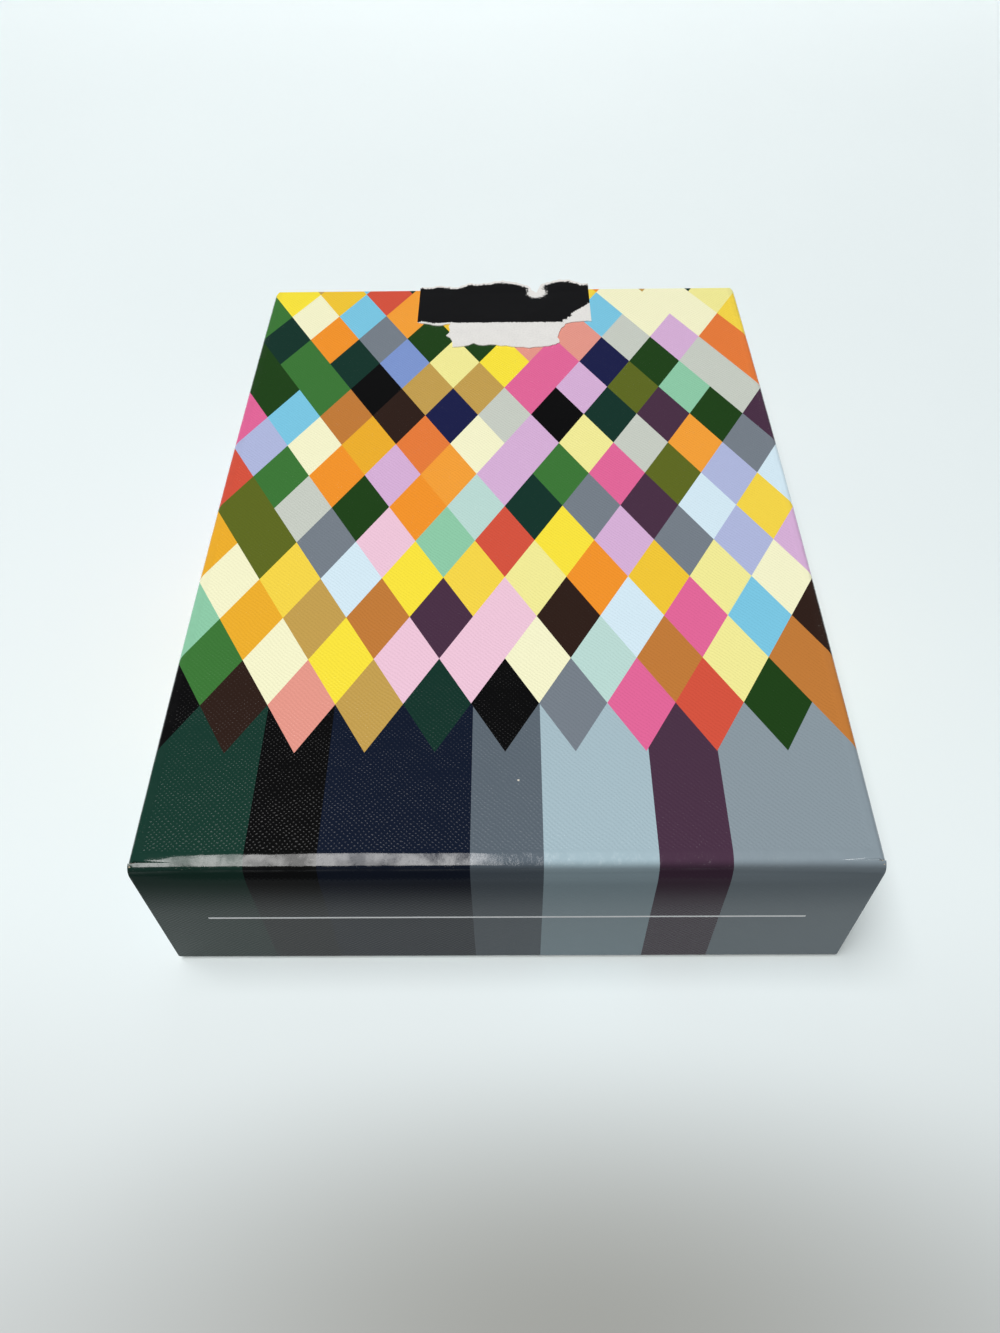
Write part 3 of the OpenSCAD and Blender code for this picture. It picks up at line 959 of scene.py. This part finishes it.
def stamp_of(name, outlines, ring=False):
    """A film of ink: all of these outlines, or the ring between the first and the second."""
    def keeps(middle):
        hits = [inside(line, middle) for line in outlines]
        return hits[0] and not hits[1] if ring else any(hits)
    film = cut(outlines, [], keeps, INK_GAP)
    return shown(name, board_mesh(name, *film, lambda x, y: Vector((x, y, INK_T)), 1.5 * INK_T))


def frame_of(name, half_size, width):
    """A stamp of a thin rectangular frame."""
    boxes = []
    for half_w, half_l in (half_size, [half - width for half in half_size]):
        boxes.append([(-half_w, -half_l), (half_w, -half_l), (half_w, half_l), (-half_w, half_l)])
    return stamp_of(name, boxes, ring=True)


PIP_W, COURT_HALF, BACK_HALF, LINE_T = 10.0, (21.0, 33.0), (28.6, 41.3), 0.45
pip_stamps = {}
for suit, lines in PIP_LINES.items():
    grown = [[(x * PIP_W, y * PIP_W) for x, y in line] for line in lines]
    pip_stamps[suit] = stamp_of("pip_" + suit, grown)
frame_stamp = frame_of("court_frame", COURT_HALF, LINE_T)
border_stamp = frame_of("back_border", BACK_HALF, 2 * LINE_T)
lozenge_stamp = stamp_of("back_lozenge", [[(0, -3.6), (4.0, 0), (0, 3.6), (-4.0, 0)]])
CROWNS = {
    "king": [(-10, 2), (10, 2), (12, 14), (7, 8.5), (4.2, 17), (0, 9.5), (-4.2, 17), (-7, 8.5),
             (-12, 14)],
    "queen": [(-9, 2), (9, 2), (11, 11), (5.5, 8), (0, 15), (-5.5, 8), (-11, 11)],
    "jack": [(-9, 2), (9, 2), (9, 6), (3, 7), (10, 16), (-2, 12), (-9, 7)],
}
crown_stamps = {rank: stamp_of("crown_" + rank, [line]) for rank, line in CROWNS.items()}
STAR_R, STAR_POINTS = (6.2, 15), 5
star_line = [(STAR_R[k % 2] * math.sin(math.pi * k / STAR_POINTS),
              STAR_R[k % 2] * -math.cos(math.pi * k / STAR_POINTS)) for k in range(2 * STAR_POINTS)]
star_stamp = stamp_of("star", [star_line])
FIGURES = "A 2 3 4 5 6 7 8 9 10 J Q K".split()
RANKS = "ace two three four five six seven eight nine ten jack queen king".split()
FIGURE_H = 7.0


def figure_stamp(text):
    """A corner figure as a film of ink, from Blender's own plain font."""
    curve = bpy.data.curves.new("figure_" + text, "FONT")
    curve.body, curve.align_x, curve.align_y = text, "CENTER", "CENTER"
    curve.size, curve.extrude, curve.resolution_u = FIGURE_H * MM, INK_T * MM, 3
    return shown("figure_" + text, frozen(shown("writing", curve)))


figure_stamps = {rank: figure_stamp(text) for rank, text in zip(RANKS, FIGURES)}
print("stamps:", len(pip_stamps) + len(crown_stamps) + len(figure_stamps) + 4)

# %% Lay out and stamp every card
CARD_R, CARD_STEPS = 3.5, 6
COLUMN_X, ROW_Y, CORNER, COURT_CORNER = 13.0, 29.0, (-26.4, 37.0), (-14.0, 25.0)
SMALL_STAR, SMALL_PIP, COURT_PIP, ACE, GREAT_ACE = 0.2, 0.42, 0.8, 1.3, 2.2
FOUR, SIX = [(-1, 1), (1, 1), (-1, -1), (1, -1)], [(-1, 0), (1, 0)]
NINE = FOUR + [(x, y / 3) for x, y in FOUR]
PIP_PLACES = dict(zip(RANKS, (
    [(0, 0)], [(0, 1), (0, -1)], [(0, 1), (0, 0), (0, -1)], FOUR, FOUR + [(0, 0)], FOUR + SIX,
    FOUR + SIX + [(0, 0.5)], FOUR + SIX + [(0, 0.5), (0, -0.5)], NINE + [(0, 0)],
    NINE + [(0, 2 / 3), (0, -2 / 3)])))
UP, ROUND, UNDER = (0, 0, 0), (0, 0, math.pi), (math.pi, 0, 0)
MIDDLE = [((0, 0, 0), UP, 1.0)]
askew = random.Random(5)


def card_body(low, high, edge):
    """The card's stock: round corners, faces and a cut edge."""
    left, right, near, far = low.x + CARD_R, high.x - CARD_R, low.y + CARD_R, high.y - CARD_R
    line = []
    for k, (cx, cy) in enumerate(((right, far), (left, far), (left, near), (right, near))):
        for j in range(CARD_STEPS + 1):
            angle = QUARTER * (k + j / CARD_STEPS)
            line.append((cx + CARD_R * math.cos(angle), cy + CARD_R * math.sin(angle)))
    count = len(line)
    points = [Vector((x, y, z)) * MM for z in (high.z, low.z) for x, y in line]
    faces = [list(range(count)), list(range(2 * count - 1, count - 1, -1))]
    faces += [(k, k + count, (k + 1) % count + count, (k + 1) % count) for k in range(count)]
    return mesh_of("card_body", points, faces, [0, 0] + [1] * count, [STOCK, edge])


def both_ways(at, share):
    """A mark in one corner and again, turned round, in the opposite one."""
    return [((at[0], at[1], 0), UP, share), ((-at[0], -at[1], 0), ROUND, share)]


def face_stamps(name):
    """The stamps on a card's face: a list of (stamp, places) and the ink, from the card's name."""
    if name.endswith("joker"):
        stars = MIDDLE + both_ways(CORNER, SMALL_STAR)
        return [(star_stamp, stars)], RED if name.startswith("red") else BLACK
    rank, suit = name.split("_of_")
    ink = RED if suit in ("hearts", "diamonds") else BLACK
    small = both_ways((CORNER[0], CORNER[1] - FIGURE_H), SMALL_PIP)
    figure = both_ways(CORNER, 1.0)
    if rank in CROWNS:
        pips = both_ways(COURT_CORNER, COURT_PIP)
        return [(frame_stamp, MIDDLE), (crown_stamps[rank], both_ways((0, 0), 1.0)),
                (pip_stamps[suit], pips + small), (figure_stamps[rank], figure)], ink
    share = GREAT_ACE if name == "ace_of_spades" else ACE if rank == "ace" else 1.0
    pips = [((x * COLUMN_X, y * ROW_Y, 0), ROUND if y < 0 else UP, share) for x, y in PIP_PLACES[rank]]
    return [(pip_stamps[suit], pips + small), (figure_stamps[rank], figure)], ink


BACK_X, BACK_Y = spaced(-22.5, 22.5, 9.0), spaced(-36.0, 36.0, 8.0)
back_places = [((x, y, 0), UNDER, 1.0) for x in BACK_X for y in BACK_Y]
back_print = [stamped(border_stamp, [((0, 0, 0), UNDER, 1.0)], BACK),
              stamped(lozenge_stamp, back_places, BACK)]


def moved(mesh, by):
    """A copy of a mesh, moved."""
    made = mesh.copy()
    made.transform(Matrix.Translation(by * MM))
    return made


SKEW_X, SKEW_Y = 0.1, 0.04
deck = frame["record"]["behaviour"]["bodies"]["deck"]
for name in deck:
    skew = Vector((askew.uniform(-SKEW_X, SKEW_X), askew.uniform(0, SKEW_Y), 0))
    low, high = (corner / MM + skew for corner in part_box(name))
    middle = (low + high) / 2
    stamps, ink = face_stamps(name)
    layers = [card_body(low, high, askew.choice(EDGES))]
    for stamp, places in stamps:
        layers.append(moved(stamped(stamp, places, ink), Vector((middle.x, middle.y, high.z))))
    layers += [moved(film, Vector((middle.x, middle.y, low.z))) for film in back_print]
    card = shown("card_" + name, merged("card_" + name, layers))
    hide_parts(name)
    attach(card, "deck")
for stamp in [*pip_stamps.values(), *crown_stamps.values(), *figure_stamps.values(), frame_stamp,
              border_stamp, lozenge_stamp, star_stamp]:
    bpy.data.objects.remove(stamp)
print("cards:", len(deck), "faces on the top card:", len(card.data.polygons))

# %% [markdown]
# ## Floor and light
# A pale table and one broad lamp overhead give the soft, nearly shadowless light of a product picture.
# The lamp hangs high on the left and reaches over the viewer, so its mirror image lies along the near
# fold, and the near face takes its light from the table alone. The viewer's own soft shadow falls on
# the table in front of the box. It is painted into the table's finish, because a body that casts it
# would also stand in the other views, and painted shade also darkens the table in a band towards the
# viewer. A weak wash behind the box keeps the far table white.

# %% Make the stage
FLOOR_R, FLOOR_POINTS = 4.0, 96
# Painted shade: the table is darker in a band towards the viewer, and the SHADE values place the painted
# shadow of the viewer.
SHADE_BAND_Y, SHADE_BAND_END = (-0.1, -0.034), -0.45
SHADE_AT, SHADE_R, SHADE_WIDTH, SHADE_TAIL = (0.005, -0.078), 0.026, 2.4, 6.0
SHADED, SHADE_BAND_TONE, PALE, PALEST = (paint(c) for c in ("#9c9e9a", "#bfc3c3", "#e8f2f4", "#eef8fa"))
LAMP_COLOUR, ROOM_COLOUR, ROOM_STRENGTH = (1.0, 0.99, 0.98), (0.93, 0.97, 1.0, 1), 0.09
rim = [(x, y, 0) for x, y in round_line(0, 0, FLOOR_R, FLOOR_POINTS)]
floor_mesh = mesh_of("table", rim, [list(range(FLOOR_POINTS))])
table = shown("table", floor_mesh)


def table_top(start):
    """A pale, faintly cloudy table. Painted shade on it stands for the viewer's soft shadow in front of
    the box and darkens a band towards the viewer.
    """
    spot = start.node("TexCoord", None, None, "Object")
    cloud = fibres(spot, 9.0, 3.0, "3D")
    x, y, _ = spot.parts()
    # The painted shadow of the viewer: lit is 0 at its middle and 1 outside it.
    across = (x - SHADE_AT[0]) / SHADE_WIDTH
    along = (y - SHADE_AT[1]).most((SHADE_AT[1] - y) / SHADE_TAIL)
    lit = (across * across + along * along).math("SQRT").rise(0.0, SHADE_R)
    # clear is 0 in the band of painted shade towards the viewer, which fades out again further off.
    clear = y.rise(*SHADE_BAND_Y).most(y.rise(SHADE_BAND_Y[0], SHADE_BAND_END))
    return {"Base Color": lit.mix(SHADED, clear.mix(SHADE_BAND_TONE, cloud.mix(PALE, PALEST)))}


floor_mesh.materials.append(finish("pale_table", table_top, Roughness=0.6))


def lamp(name, place, aim, size, watts, spread):
    """A rectangular lamp that looks from its place towards its aim."""
    light = bpy.data.lights.new(name, "AREA")
    light.shape, light.size, light.size_y = "RECTANGLE", *size
    light.energy, light.color, light.spread = watts, LAMP_COLOUR, math.radians(spread)
    made = shown(name, light)
    made.location = place
    made.rotation_euler = (Vector(aim) - Vector(place)).to_track_quat("-Z", "Y").to_euler()
    return made


lamp("overhead_lamp", place=(-0.37, -0.6, 1.6), aim=(-0.37, -0.6, 0), size=(0.66, 1.8), watts=35.0,
     spread=180)
wash = lamp("table_wash", place=(0.4, 1.0, 0.6), aim=(0.4, 0.45, 0), size=(1.2, 0.3), watts=1.1,
            spread=28)
wash.visible_glossy = False

world = bpy.data.worlds.new("room")
world.use_nodes = True
scene.world = world
background = world.node_tree.nodes["Background"]
background.inputs["Color"].default_value = ROOM_COLOUR
background.inputs["Strength"].default_value = ROOM_STRENGTH
scene.view_settings.view_transform = "Standard"
print("stage: table radius, m:", FLOOR_R)
